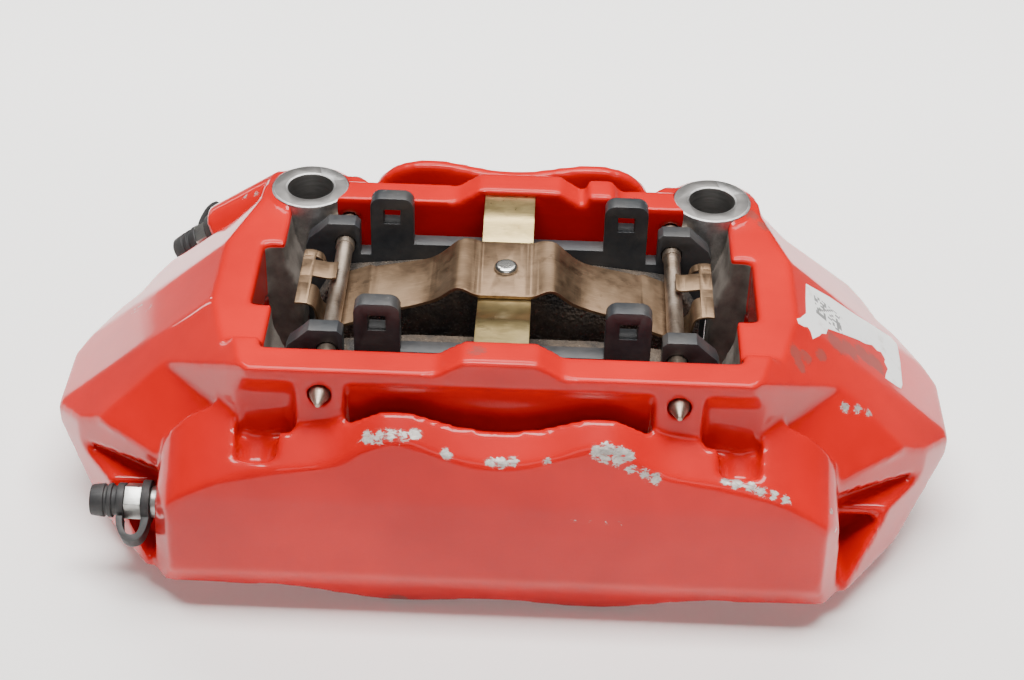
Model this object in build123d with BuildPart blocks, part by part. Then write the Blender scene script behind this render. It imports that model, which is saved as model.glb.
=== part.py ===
"""Four-piston fixed brake caliper, radial mount, with its pads, pins and springs.

Frame: the origin is midway between the two mounting bolts, on the seat that rests on
the knuckle.  +Z points away from the disc's axle, +X runs along the disc's edge and
-Y is the outboard side, towards the wheel.  All sizes are in millimetres.

Depth is written as d, the distance from the disc's middle plane.  The two halves
are told apart by a side: OUTBOARD is -1 and INBOARD is +1.
"""

from math import hypot, sqrt

from build123d import *

OUTBOARD, INBOARD = -1, 1
LEFT, RIGHT = -1, 1
SIDES = {OUTBOARD: "outboard", INBOARD: "inboard"}
HANDS = {LEFT: "left", RIGHT: "right"}

# ---- mounting lugs -------------------------------------------------------------
mount_pitch = 130.0
mount_hole_d = 14.4
lug_d = 25.2
lug_height = 36.0
lug_collar = 3.2          # cast metal round the machined lug
lug_proud = 1.6           # how far the machined lug stands above the casting

# ---- disc that the caliper straddles -------------------------------------------
disc_offset = 46.0        # from the bolts' plane to the disc's middle plane
disc_thickness = 28.0
disc_r = 165.0
disc_axle_z = -136.0
disc_clearance = 3.0
slot_half = disc_thickness / 2 + 2.0
DISC_Y = -disc_offset

# ---- pads ----------------------------------------------------------------------
pad_gap = 0.75            # from the disc to the new lining
lining_t = 10.5
backing_t = 5.5
shim_t = 0.75
pad_half_w = 64.5
pad_play = 0.5            # pad to abutment, each end
pad_top_z = 28.8
pad_bottom_z = -34.0
pin_inset = 12.7          # from the pad's end to the pin
tab_w = 13.6
tab_to_pin = 8.1
ear_to_pin = 4.6
tab_top_z = 45.7
tab_hole = 5.3
tab_hole_z = 38.9
ear_top_z = 35.5
ear_shoulder_z = 24.3
lining_inset = 2.5        # from the backing plate's end to the lining's

LINING_D = disc_thickness / 2 + pad_gap
BACKING_D = LINING_D + lining_t
SHIM_D = BACKING_D + backing_t
PISTON_D = SHIM_D + shim_t
pin_x = pad_half_w - pin_inset
tab_out_x = pin_x - tab_to_pin
tab_in_x = tab_out_x - tab_w
ear_in_x = pin_x - ear_to_pin
lining_x = pad_half_w - lining_inset

# ---- pistons, seals and boots ---------------------------------------------------
piston_r = 20.0
piston_x = 28.0
piston_z = -7.0
piston_len = 24.5
piston_cup_r = 13.8
piston_cup_depth = 18.0
bore_play = 0.05
bore_floor_gap = 2.5
seal_section = 3.0
seal_width = 3.2
seal_d = 39.0
boot_depth = 3.0
boot_wall = 2.6
boot_groove = 1.4
house_d = PISTON_D + 2.0  # inner face of each piston housing
bore_end_d = PISTON_D + piston_len + bore_floor_gap

# ---- retaining pins -------------------------------------------------------------
pin_r = 3.0
pin_waist_r = 2.6
pin_z = 28.0
pin_tip_d = 56.5
pin_tip_len = 5.0
pin_head_r = pin_r + 1.2
pin_head_len = 4.0
pin_head_d = 55.5
pin_hole_play = 0.35
boss_half = 7.15
sleeve_r = pin_r + 0.85
sleeve_len = 6.5

# ---- casting ---------------------------------------------------------------------
ledge_z = 37.0            # rim of the window beside the pads
end_z = 34.0              # flat beside the window's ends
bump_z = 42.0             # raised middle that holds the spring down
window_half_x = pad_half_w + 7.8
window_front_d = 40.75
window_back_d = 37.75
notch_half_x = pad_half_w + 11.7
window_taper_z = 14.0
ledge_front_d = 52.0
ledge_back_d = 48.5
fascia_d = 66.0           # ridge of the outer face of each half
ridge_z = -3.0
rim_d = 62.3
crease_d, crease_z = 64.2, -31.0
foot_d = 57.0
foot_z = -48.0            # lowest point of the piston lobes
heel_z = -39.5            # underside of the half's ends
heel_x = 107.0
tip_x = 141.0
tip_half_y = 10.0
heel_d = 55.0
shoulder_x = 87.6         # where the end slabs start to fall away
tip_low_z = -20.0
belt_z = -3.0             # height of the ridge that runs round the outboard corners
belt_in, belt_out = (102.0, 46.0), (150.0, 7.6)
belt_under_z = -8.0
web_top_z, web_under_z = -18.5, -22.5
web_d = 38.5
web_out_x = 131.0         # where the pocket over the web closes
flange_t = 4.5
flange_rise = 1.2
pocket_d = 30.0
block_end_x, block_draft = 101.0, 0.096
slab_in_x = 87.0
inboard_rim_t = 9.0

# ---- bleed screws and inlet --------------------------------------------------------
bleed_d = 47.3
bleed_z = -19.5
bleed_face_x = -104.5
bleed_thread_r = 4.9
bleed_hex = 10.0
inlet_r = 4.5
inlet_depth = 12.0
passage_r = 2.0

# ---- springs -------------------------------------------------------------------------
leaf_t = 1.0
strip_t = 0.9
strip_half = 8.0
clip_t = 0.6


def at(side, d):
    """The Y of a point that lies d from the disc's middle plane, on a side."""
    return DISC_Y + side * d


def xz(y):
    """A plane at y whose sketch axes are the frame's X and Z."""
    return Plane(origin=(0, y, 0), x_dir=(1, 0, 0), z_dir=(0, -1, 0))


def yz(x):
    """A plane at x whose sketch axes are the frame's Y and Z."""
    return Plane(origin=(x, 0, 0), x_dir=(0, 1, 0), z_dir=(1, 0, 0))


def slab(low, high):
    """A block between two corners, to use inside a part."""
    centre = [(a + b) / 2 for a, b in zip(low, high)]
    size = [abs(b - a) for a, b in zip(low, high)]
    return Pos(*centre) * Box(*size, mode=Mode.PRIVATE)


def rod(start, end, radius, end_radius=None):
    """A round bar from one point to another."""
    line = Vector(*end) - Vector(*start)
    plane = Plane(origin=start, z_dir=line)
    length = line.length
    if end_radius is None:
        bar = Cylinder(radius, length, align=(Align.CENTER, Align.CENTER, Align.MIN), mode=Mode.PRIVATE)
    else:
        bar = Cone(
            radius, end_radius, length, align=(Align.CENTER, Align.CENTER, Align.MIN), mode=Mode.PRIVATE
        )
    return plane.location * bar


def write(part, name):
    """Labels a finished piece and writes its STEP."""
    part.label = name
    export_step(part, f"parts/{name}.step")


def ribbon(points, thickness):
    """The top and bottom curves of a bent strip, from points along its top."""
    top, bottom = [], []
    for i, (u, v) in enumerate(points):
        before = points[max(i - 1, 0)]
        after = points[min(i + 1, len(points) - 1)]
        run, rise = after[0] - before[0], after[1] - before[1]
        length = hypot(run, rise)
        top.append((u, v))
        bottom.append((u + thickness * rise / length, v - thickness * run / length))
    return top, bottom


def strip_face(plane, points, thickness):
    """A bent strip's cross-section on a plane, from points along its top."""
    top, bottom = ribbon(points, thickness)
    with BuildSketch(plane) as section:
        with BuildLine():
            Spline(*top)
            Line(top[-1], bottom[-1])
            Spline(*reversed(bottom))
            Line(bottom[0], top[0])
        make_face()
    return section.sketch


def mirrored(points):
    """A left half made from right-hand points, joined to them."""
    return [(-u, v) for u, v in reversed(points) if u > 0] + points


# ---- casting: the end slabs that join the two halves ------------------------------
slab_plan = [
    (0, -heel_d), (heel_x, -heel_d), (tip_x, -tip_half_y), (tip_x, tip_half_y + 7),
    (112, 49), (92, heel_d), (0, heel_d),
]
slab_faces = [
    # a point on each sloping face (x, d, z), and the face's outward direction
    ((shoulder_x, 0, end_z), (0.665, 0.0, 0.747)),
    ((shoulder_x, -14, end_z), (0.666, -0.18, 0.724)),
    ((shoulder_x, 20, end_z - 1), (0.640, 0.20, 0.742)),
    ((belt_in[0], -belt_in[1], belt_z), (0.475, -0.634, 0.61)),
    ((102.5, 50, 8), (0.42, 0.62, 0.66)),
    ((tip_x, 0, tip_low_z), (0.77, 0.0, -0.638)),
]
with BuildPart() as slabs:
    with BuildSketch(Plane.XY.offset(heel_z)):
        with BuildLine():
            outline = slab_plan + [(-x, d) for x, d in reversed(slab_plan[1:-1])]
            Polyline(*[(x, DISC_Y + d) for x, d in outline], close=True)
        make_face()
    extrude(amount=end_z - heel_z)
    for hand in HANDS:
        for (x, d, z), (nx, ny, nz) in slab_faces:
            face = Plane(origin=(hand * x, DISC_Y + d, z), z_dir=(hand * nx, ny, nz))
            split(bisect_by=face, keep=Keep.BOTTOM)
    # the middle is left to the deck and the outer blocks
    for side in SIDES:
        low = (-slab_in_x, at(side, 44), ridge_z)
        high = (slab_in_x, at(side, heel_d + 5), end_z + 5)
        add(slab(low, high), mode=Mode.SUBTRACT)

# ---- casting: the deck round the window ---------------------------------------------
deck_plan = [
    (0, -ledge_front_d), (72.5, -ledge_front_d), (79, -46.5), (101, -27), (101, 30),
    (78, ledge_back_d), (0, ledge_back_d),
]
with BuildPart() as deck:
    with BuildSketch(Plane.XY.offset(-20)):
        with BuildLine():
            outline = deck_plan + [(-x, d) for x, d in reversed(deck_plan[1:-1])]
            Polyline(*[(x, DISC_Y + d) for x, d in outline], close=True)
        make_face()
    extrude(amount=ledge_z + 20)
    for hand in HANDS:
        for (x, d, z), (nx, ny, nz) in slab_faces[:3]:
            face = Plane(origin=(hand * x, DISC_Y + d, z), z_dir=(hand * nx, ny, nz))
            split(bisect_by=face, keep=Keep.BOTTOM)
    # the flats beside the window's ends lie a little under the ledges
    for hand in HANDS:
        low = (hand * 69.5, DISC_Y - 36, end_z)
        high = (hand * 110, DISC_Y + 60, ledge_z + 1)
        add(slab(low, high), mode=Mode.SUBTRACT)

# ---- casting: the outer block of each half --------------------------------------------
outboard_rim = [
    (0, 13.5), (16, 16), (31, 19.5), (47, 12.8), (60, 10.5), (72, 8.6), (84, 5.4),
    (93, 0.5), (98.6, -6), (101.9, -14),
]
inboard_rim = [
    (0, 36.6), (10, 37.6), (20, 39.6), (29, 40.0), (37, 38.0), (43, 33.0), (48, 21),
    (57, 13.5), (72, 9), (90, 2.5), (98, -6), (101.9, -14),
]
foot_line = [(0, -45.2), (14, -46.4), (29, foot_z), (46, -44.8), (60, -41), (74, heel_z - 1)]
shelf_slope = 0.68
block_x = 104.5


def outer_block(side, rim, wall_d, slope, back_z):
    """The housing for one half's two pistons, drawn from its front and side outlines."""
    with BuildPart() as block:
        # front outline, drawn forwards and down along the shelf's slope
        with BuildSketch(xz(at(side, wall_d))):
            with BuildLine():
                lift = (rim_d - wall_d) * slope
                crest = [(x, z + lift) for x, z in mirrored(rim)]
                Spline(*crest)
                Polyline(crest[-1], (crest[-1][0], -70), (crest[0][0], -70), crest[0])
            make_face()
        extrude(amount=fascia_d + 4 - wall_d, dir=(0, side, -slope))
        # the plain box behind it
        low = (-block_x, at(side, house_d), -60)
        high = (block_x, at(side, fascia_d - 4), rim[-1][1])
        add(slab(low, high))
        low = (-46, at(side, house_d), 0)
        high = (46, at(side, wall_d + 1), back_z)
        add(slab(low, high))
        # the ends, bevelled back from the outer face and drawn in towards the top
        with BuildSketch(Plane.XY.offset(-60)):
            with BuildLine():
                half = [(block_x, house_d - 1), (block_x, 55), (98.0, 63.5), (94, 71)]
                ring = half + [(-x, d) for x, d in reversed(half)]
                Polyline(*[(x, at(side, d)) for x, d in ring], close=True)
            make_face()
        extrude(amount=130, mode=Mode.INTERSECT)
        for hand in HANDS:
            end = Plane(origin=(hand * block_end_x, 0, belt_z), z_dir=(hand, 0, block_draft))
            split(bisect_by=end, keep=Keep.BOTTOM)
        # side outline
        with BuildSketch(yz(-150)):
            with BuildLine():
                lean = (fascia_d - rim_d) / (outboard_rim[1][1] - ridge_z)
                profile = [
                    (house_d, 50), (fascia_d - lean * (50 - ridge_z), 50), (fascia_d, ridge_z),
                    (crease_d, crease_z), (foot_d, foot_z), (house_d, foot_z + 10),
                ]
                Polyline(*[(at(side, d), z) for d, z in profile], close=True)
            make_face()
        extrude(amount=300, mode=Mode.INTERSECT)
        # underside, with a lobe under each piston
        with BuildSketch(xz(at(side, 20) if side > 0 else at(side, 80))):
            with BuildLine():
                feet = mirrored(foot_line)
                Spline(*feet)
                Polyline(feet[-1], (block_x + 1, heel_z), (block_x + 1, 80), (-block_x - 1, 80))
                Polyline((-block_x - 1, 80), (-block_x - 1, heel_z), feet[0])
            make_face()
        extrude(amount=-60, mode=Mode.INTERSECT)
    return block.part


with BuildPart() as outboard_block:
    add(outer_block(OUTBOARD, outboard_rim, ledge_front_d - 8, shelf_slope, 4))
with BuildPart() as inboard_block:
    add(outer_block(INBOARD, inboard_rim, rim_d - inboard_rim_t, 0.1, 21))

# ---- bleed screws, one at the left end of each half ---------------------------------
bleeders = {
    OUTBOARD: {
        "seat": (bleed_face_x, at(OUTBOARD, bleed_d), bleed_z),
        "way": (-1.0, 0.0, 0.0),
        "hang": (0, -1, -0.5),      # the side its strap bows out to
    },
    INBOARD: {
        "seat": (-97.0, at(INBOARD, 58.0), 9.5),
        "way": (-0.80, 0.12, -0.588),
        "hang": (0.02, 1, 0.2),
    },
}
gallery_end = bore_end_d - 1.6


def beyond(side, distance):
    """A point on a bleed screw's axis, measured out from its seat."""
    seat, way = bleeders[side]["seat"], bleeders[side]["way"]
    length = sqrt(sum(c * c for c in way))
    return tuple(s + distance * w / length for s, w in zip(seat, way))


# ---- the casting ----------------------------------------------------------------------
bolt_x = mount_pitch / 2
lug_r = lug_d / 2
pocket_half_x = pad_half_w + pad_play
bore_r = piston_r + bore_play
seal_groove_r = piston_r + seal_section
boot_r = piston_r + boot_wall


def end_x(z):
    """Where a block's drafted end lies at a height."""
    return block_end_x + block_draft * (belt_z - z)


def flange_z(x):
    """Height of the flange's inner edge along an outboard corner."""
    return heel_z + flange_t + flange_rise * (x - heel_x)


def corner_cut(front, back):
    """Waste in the right-hand outboard corner, from its front and plan outlines."""
    with BuildPart() as waste:
        with BuildSketch(xz(at(OUTBOARD, 2))):
            with BuildLine():
                Polyline(*front, close=True)
            make_face()
        extrude(amount=80)
        with BuildSketch(Plane.XY.offset(-60)):
            with BuildLine():
                ring = back + [(back[-1][0], 90), (back[0][0], 90)]
                Polyline(*[(x, at(OUTBOARD, d)) for x, d in ring], close=True)
            make_face()
        extrude(amount=120, mode=Mode.INTERSECT)
    return waste.part


def under(z):
    """The corner below a height, down to the flange."""
    out_x = heel_x + (z - flange_z(heel_x)) / flange_rise
    return [(end_x(z), z), (end_x(-36), flange_z(end_x(-36))), (out_x, z)]


with BuildPart() as corner_waste:
    # the wall below the belt, then the front of the web, then the pockets above and below it
    belt_face = [(end_x(belt_z), belt_z), (end_x(web_top_z), web_top_z), (150, web_top_z), (150, belt_z)]
    add(corner_cut(belt_face, [(99, belt_in[1] + 2.4), belt_out]))
    add(corner_cut(under(web_top_z), [(99, web_d), (150, web_d)]))
    above = [
        (end_x(belt_under_z), belt_under_z), (end_x(web_top_z), web_top_z),
        (web_out_x, web_top_z), (web_out_x, web_top_z + 1),
    ]
    add(corner_cut(above, [(99, web_d + 1), (web_out_x, 21)]))
    add(corner_cut(under(web_under_z), [(99, pocket_d), (150, pocket_d)]))

with BuildPart() as caliper_body:
    add(slabs.part)
    add(deck.part)
    add(outboard_block.part)
    add(inboard_block.part)

    # raised middles of the two ledges, and the small stop beside the inboard one
    for side, half, stub in ((OUTBOARD, 13.5, None), (INBOARD, 15.5, (24.5, 32.5))):
        inner = window_front_d if side == OUTBOARD else window_back_d
        outer = ledge_front_d if side == OUTBOARD else ledge_back_d
        with BuildSketch(xz(max(at(side, inner), at(side, outer)))):
            with BuildLine():
                shift = 0 if side == OUTBOARD else 3.0
                ramp = [(half - 3, bump_z), (half + 5, ledge_z), (half + 5, ledge_z - 8)]
                raised = [(x + shift, z) for x, z in ramp]
                raised += [(shift - x, z) for x, z in reversed(ramp)]
                Polyline(*raised, close=True)
            make_face()
            if stub:
                with BuildLine():
                    Polyline(
                        (stub[0], ledge_z - 8), (stub[0], bump_z - 1), (stub[1], bump_z - 1),
                        (stub[1] + 3, ledge_z), (stub[1] + 3, ledge_z - 8), close=True,
                    )
                make_face()
        extrude(amount=outer - inner)

    # bosses the pins run through
    for hand in HANDS:
        low = (hand * (pin_x - boss_half), at(OUTBOARD, ledge_front_d), pin_z - 8)
        high = (hand * (pin_x + boss_half), at(OUTBOARD, ledge_front_d - 8), ledge_z)
        add(slab(low, high))
        start = (hand * pin_x, at(INBOARD, window_back_d), pin_z)
        add(rod(start, (hand * pin_x, at(INBOARD, pin_head_d), pin_z), pin_head_r + 2.6))

    # bosses of the bleed screws
    add(rod(beyond(INBOARD, -30), beyond(INBOARD, 0), 8.6))
    add(rod(beyond(OUTBOARD, -6), beyond(OUTBOARD, 0), 7.4))

    # mounting lugs: a cast collar, and the machined lug standing out of it
    for hand in HANDS:
        with Locations((hand * bolt_x, 0, lug_proud)):
            Cylinder(
                lug_r + lug_collar, lug_height - 2 * lug_proud,
                align=(Align.CENTER, Align.CENTER, Align.MIN),
            )
        low = (hand * (bolt_x - lug_r - lug_collar + 1), at(INBOARD, 20), 2)
        high = (hand * (bolt_x + lug_r + lug_collar - 1), 0, lug_height - 4)
        add(slab(low, high))
        with Locations((hand * bolt_x, 0, 0)):
            Cylinder(lug_r, lug_height, align=(Align.CENTER, Align.CENTER, Align.MIN))

    # flats under the lugs, and room round them for the knuckle's ears
    for hand in HANDS:
        with Locations((hand * bolt_x, 0, 0)):
            Cylinder(
                lug_r + 1.0, 70, align=(Align.CENTER, Align.CENTER, Align.MAX), mode=Mode.SUBTRACT
            )
        low = (hand * (bolt_x - 3), -lug_r - 1.0, -70)
        high = (hand * 150, 40, 0)
        add(slab(low, high), mode=Mode.SUBTRACT)

    # window over the pads, wider near the top
    with BuildSketch(xz(at(INBOARD, window_back_d))):
        with BuildLine():
            mouth = [
                (pocket_half_x, -20), (pocket_half_x, window_taper_z), (window_half_x - 3, 26),
                (window_half_x, 60),
            ]
            Polyline(*(mouth + [(-x, z) for x, z in reversed(mouth)]), close=True)
        make_face()
    extrude(amount=window_back_d + window_front_d, mode=Mode.SUBTRACT)

    # pad pocket between the abutments, down through the underside
    low = (-pocket_half_x, at(OUTBOARD, house_d), -80)
    high = (pocket_half_x, at(INBOARD, house_d), window_taper_z + 8)
    add(slab(low, high), mode=Mode.SUBTRACT)

    # disc slot: straight sides, an arched roof, and notches up through the deck
    low = (-notch_half_x, DISC_Y - slot_half, -80)
    high = (notch_half_x, DISC_Y + slot_half, 60)
    add(slab(low, high), mode=Mode.SUBTRACT)
    start = (0, DISC_Y - slot_half, disc_axle_z)
    add(rod(start, (0, DISC_Y + slot_half, disc_axle_z), disc_r + disc_clearance), mode=Mode.SUBTRACT)

    # outboard corners: set back below the belt, and hollowed above and below a web
    for hand in HANDS:
        if hand > 0:
            add(corner_waste.part, mode=Mode.SUBTRACT)
        else:
            add(mirror(corner_waste.part, Plane.YZ, mode=Mode.PRIVATE), mode=Mode.SUBTRACT)

    # wall under the outboard ledge, set back beside the pins' bosses
    inner, outer = pin_x - boss_half, pin_x + boss_half
    for low_x, high_x in ((-77, -outer), (-inner, inner), (outer, 77)):
        with BuildSketch(yz(low_x)):
            with BuildLine():
                hollow = [(ledge_front_d + 1, 33), (ledge_front_d - 1.2, 32), (ledge_front_d - 3.2, 27)]
                hollow += [(ledge_front_d - 3.2, 10), (ledge_front_d + 1, 10)]
                Polyline(*[(at(OUTBOARD, d), z) for d, z in hollow], close=True)
            make_face()
        extrude(amount=high_x - low_x, mode=Mode.SUBTRACT)

    # scallops in the outboard shelf
    for hand in HANDS:
        start = (hand * 70.5, at(OUTBOARD, ledge_front_d + 0.5), 15)
        add(rod(start, (hand * 70.5, at(OUTBOARD, 60), 9.5), 6.2), mode=Mode.SUBTRACT)

    # piston bores, seal grooves and boot recesses
    for side in SIDES:
        for hand in HANDS:
            x = hand * piston_x
            for near, far, radius in (
                (house_d - 1, bore_end_d, bore_r),
                (house_d - 1, house_d + boot_depth, boot_r),
                (seal_d, seal_d + seal_width, seal_groove_r),
            ):
                start = (x, at(side, near), piston_z)
                add(rod(start, (x, at(side, far), piston_z), radius), mode=Mode.SUBTRACT)

    # pin holes
    for hand in HANDS:
        start = (hand * pin_x, at(OUTBOARD, ledge_front_d + 1), pin_z)
        end = (hand * pin_x, at(INBOARD, pin_head_d + 1), pin_z)
        add(rod(start, end, pin_r + pin_hole_play), mode=Mode.SUBTRACT)
        start = (hand * pin_x, at(INBOARD, pin_head_d - sleeve_len - 0.5), pin_z)
        add(rod(start, end, sleeve_r + 0.05), mode=Mode.SUBTRACT)
        start = (hand * pin_x, at(INBOARD, pin_head_d), pin_z)
        end = (hand * pin_x, at(INBOARD, pin_head_d + 25), pin_z)
        add(rod(start, end, pin_head_r + 0.6), mode=Mode.SUBTRACT)

    # grooves under the raised middles for the ends of the cross spring
    for side, inner in ((OUTBOARD, window_front_d), (INBOARD, window_back_d)):
        low = (-strip_half - 0.8, at(side, inner - 1), bump_z - 3.4)
        high = (strip_half + 0.8, at(side, inner + 3.2), bump_z - 1.3)
        add(slab(low, high), mode=Mode.SUBTRACT)

    # bolt holes
    for hand in HANDS:
        with Locations((hand * bolt_x, 0, -1)):
            Cylinder(
                mount_hole_d / 2, lug_height + 2,
                align=(Align.CENTER, Align.CENTER, Align.MIN), mode=Mode.SUBTRACT,
            )

    # bleed screw holes, galleries between the bores, the cross passage and the inlet
    for side in SIDES:
        add(rod(beyond(side, 0), beyond(side, 40), 8.2), mode=Mode.SUBTRACT)
        add(rod(beyond(side, 1), beyond(side, -17.5), bleed_thread_r), mode=Mode.SUBTRACT)
        add(rod(beyond(side, -17.5), beyond(side, -20.5), bleed_thread_r, 1.6), mode=Mode.SUBTRACT)
        bore_end = (-piston_x - piston_r + 3, at(side, gallery_end), piston_z)
        add(rod(beyond(side, -20), bore_end, 1.6), mode=Mode.SUBTRACT)
        start = (-piston_x, at(side, gallery_end), piston_z)
        add(rod(start, (piston_x, at(side, gallery_end), piston_z), 1.5), mode=Mode.SUBTRACT)
        start = (piston_x + piston_r - 3, at(side, gallery_end), piston_z)
        corner = (108, at(side, 26), 2.0)
        add(rod(start, corner, passage_r), mode=Mode.SUBTRACT)
    start = (108, at(OUTBOARD, 27), 2.0)
    add(rod(start, (108, at(INBOARD, 27), 2.0), passage_r), mode=Mode.SUBTRACT)
    inlet = (0, at(INBOARD, fascia_d + 1.5), piston_z)
    add(rod((0, at(INBOARD, fascia_d - 5), piston_z), inlet, 9.0))
    floor = (0, inlet[1] - inlet_depth, piston_z)
    add(rod(floor, (0, inlet[1] + 1, piston_z), inlet_r), mode=Mode.SUBTRACT)
write(caliper_body.part, "caliper_body")

# ---- pistons, their seals and dust boots ------------------------------------------------
for side in SIDES:
    for hand in HANDS:
        tag = f"{SIDES[side]}_{HANDS[hand]}"
        x = hand * piston_x

        with BuildPart() as piston:
            face = (x, at(side, PISTON_D), piston_z)
            add(rod(face, (x, at(side, PISTON_D + piston_len), piston_z), piston_r))
            cup = (x, at(side, PISTON_D + piston_cup_depth), piston_z)
            add(rod((x, at(side, PISTON_D - 1), piston_z), cup, piston_cup_r), mode=Mode.SUBTRACT)
            with BuildSketch(xz(max(at(side, PISTON_D + 1.2), at(side, PISTON_D + 2.6)))):
                with Locations((x, piston_z)):
                    Circle(piston_r + 1)
                    Circle(piston_r - boot_groove, mode=Mode.SUBTRACT)
            extrude(amount=1.4, mode=Mode.SUBTRACT)
            ends = piston.edges().filter_by(GeomType.CIRCLE).filter_by(lambda e: e.radius > piston_r - 0.1)
            chamfer(ends.group_by(Axis.Y)[0 if side < 0 else -1], length=1.2)
        write(piston.part, f"piston_{tag}")

        with BuildPart() as seal:
            with BuildSketch(xz(max(at(side, seal_d + 0.1), at(side, seal_d + seal_width - 0.1)))):
                with Locations((x, piston_z)):
                    Circle(seal_groove_r - 0.03)
                    Circle(piston_r + 0.03, mode=Mode.SUBTRACT)
            extrude(amount=seal_width - 0.2)
        write(seal.part, f"seal_{tag}")

        with BuildPart() as boot:
            # a folded ring from the housing's recess to the piston's groove
            section = [
                (boot_r - 0.03, house_d + boot_depth - 0.1), (boot_r - 0.03, house_d + 0.1),
                (boot_r - 0.8, PISTON_D + 0.5), (piston_r + 0.9, PISTON_D + 0.5),
                (piston_r + 0.6, PISTON_D + 1.5), (piston_r - 0.9, PISTON_D + 1.5),
                (piston_r - 0.9, PISTON_D + 2.3), (piston_r + 1.2, PISTON_D + 2.3),
                (piston_r + 1.2, house_d + boot_depth - 0.1),
            ]
            with BuildSketch(Plane(origin=(x, DISC_Y, piston_z), x_dir=(1, 0, 0), z_dir=(0, 0, side))):
                with BuildLine():
                    Polyline(*[(r, d) for r, d in section], close=True)
                make_face()
            revolve(axis=Axis((x, DISC_Y, piston_z), (0, 1, 0)))
        write(boot.part, f"dust_boot_{tag}")

# ---- pads -----------------------------------------------------------------------------------
plate_right = [
    (tab_in_x, pad_top_z), (tab_in_x, tab_top_z), (tab_out_x, tab_top_z),
    (tab_out_x, ear_shoulder_z), (ear_in_x, ear_shoulder_z), (ear_in_x, ear_top_z - 1.5),
    (ear_in_x + 1.5, ear_top_z), (pad_half_w - 7.3, ear_top_z), (pad_half_w - 4.3, 32.6),
    (pad_half_w - 1.1, 29.8), (pad_half_w, 27.0), (pad_half_w, -16), (pad_half_w - 3.5, -26),
    (pad_half_w - 14.5, -40.5),
]
shim_right = [(lining_x - 5.5, 19.5), (lining_x - 2, 15), (lining_x - 2, -18), (lining_x - 15, -37)]
lining_right = [
    (28, 23.5), (lining_x - 7, 20.5), (lining_x, 8), (lining_x, -17), (lining_x - 3.5, -26),
    (lining_x - 13.5, -37.5),
]


def pad_face(plane, right, bottom_z):
    """A symmetrical plate with an arched lower edge, from its right-hand points."""
    left = [(-x, z) for x, z in reversed(right)]
    with BuildSketch(plane) as outline:
        with BuildLine():
            Polyline(*(left + right))
            ThreePointArc(right[-1], (0, bottom_z), left[0])
        make_face()
    return outline.sketch


for side in SIDES:
    tag = SIDES[side]

    with BuildPart() as backing:
        start = max(at(side, BACKING_D), at(side, SHIM_D))
        with BuildSketch(xz(start)):
            add(pad_face(Plane.XY, plate_right, pad_bottom_z))
            for hand in HANDS:
                with Locations((hand * (tab_in_x + tab_out_x) / 2, tab_hole_z)):
                    Rectangle(tab_hole, tab_hole, mode=Mode.SUBTRACT)
                with Locations((hand * pin_x, pin_z)):
                    Circle(pin_r + pin_hole_play, mode=Mode.SUBTRACT)
        extrude(amount=backing_t)
        tall = backing.edges().filter_by(Axis.Y).filter_by(lambda e: e.center().Z > tab_top_z - 0.1)
        fillet(tall, radius=3.5)
    write(backing.part, f"backing_plate_{tag}")

    with BuildPart() as lining:
        near, far = at(side, LINING_D), at(side, BACKING_D)
        extrude(pad_face(xz(max(near, far)), lining_right, pad_bottom_z + 2.2), amount=lining_t)
        # wear slot down the middle, and eased leading edges
        low = (-1.3, near - side, -60)
        high = (1.3, near + side * (lining_t - 2.5), 60)
        add(slab(low, high), mode=Mode.SUBTRACT)
        for hand in HANDS:
            with BuildSketch(Plane.XY.offset(-60)):
                with BuildLine():
                    wedge = [(-8, -1), (4, -1), (4, 5.0), (0, 3.0)]
                    Polyline(*[(hand * (lining_x + x), near + side * d) for x, d in wedge], close=True)
                make_face()
            extrude(amount=120, mode=Mode.SUBTRACT)
    write(lining.part, f"lining_{tag}")

    with BuildPart() as shim:
        plane = xz(max(at(side, SHIM_D), at(side, PISTON_D)))
        extrude(pad_face(plane, shim_right, pad_bottom_z + 1.2), amount=shim_t)
    write(shim.part, f"shim_{tag}")

# ---- retaining pins and their spring sleeves ---------------------------------------------------
for hand in HANDS:
    x = hand * pin_x
    neck_d = pin_tip_d - pin_tip_len

    with BuildPart() as pin:
        add(rod((x, at(OUTBOARD, neck_d), pin_z), (x, at(OUTBOARD, pin_tip_d), pin_z), pin_r, 0.7))
        add(rod((x, at(OUTBOARD, neck_d), pin_z), (x, at(OUTBOARD, 23.0), pin_z), pin_r))
        add(rod((x, at(OUTBOARD, 23.0), pin_z), (x, at(INBOARD, 23.0), pin_z), pin_waist_r))
        add(rod((x, at(INBOARD, 23.0), pin_z), (x, at(INBOARD, pin_head_d), pin_z), pin_r))
        head_end = (x, at(INBOARD, pin_head_d + pin_head_len), pin_z)
        add(rod((x, at(INBOARD, pin_head_d), pin_z), head_end, pin_head_r))
        rim = pin.edges().filter_by(GeomType.CIRCLE).group_by(Axis.Y)[-1]
        chamfer(rim, length=0.7)
    write(pin.part, f"retaining_pin_{HANDS[hand]}")

    with BuildPart() as sleeve:
        start = (x, at(INBOARD, pin_head_d - sleeve_len), pin_z)
        end = (x, at(INBOARD, pin_head_d), pin_z)
        add(rod(start, end, sleeve_r))
        add(rod(start, end, pin_r), mode=Mode.SUBTRACT)
        low = (x - 0.5, start[1] - 1, pin_z)
        high = (x + 0.5, end[1] + 1, pin_z - 6)
        add(slab(low, high), mode=Mode.SUBTRACT)
    write(sleeve.part, f"pin_sleeve_{HANDS[hand]}")

# ---- cross spring: a leaf along the disc, a strip across it and a rivet ---------------------------
leaf_crown_x = 17.5
leaf_reach = pin_x - 1.4


def wing(share):
    """How far out a point of the leaf's wing lies, from its share of the way to the pin."""
    return leaf_crown_x + share * (leaf_reach - leaf_crown_x)


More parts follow.
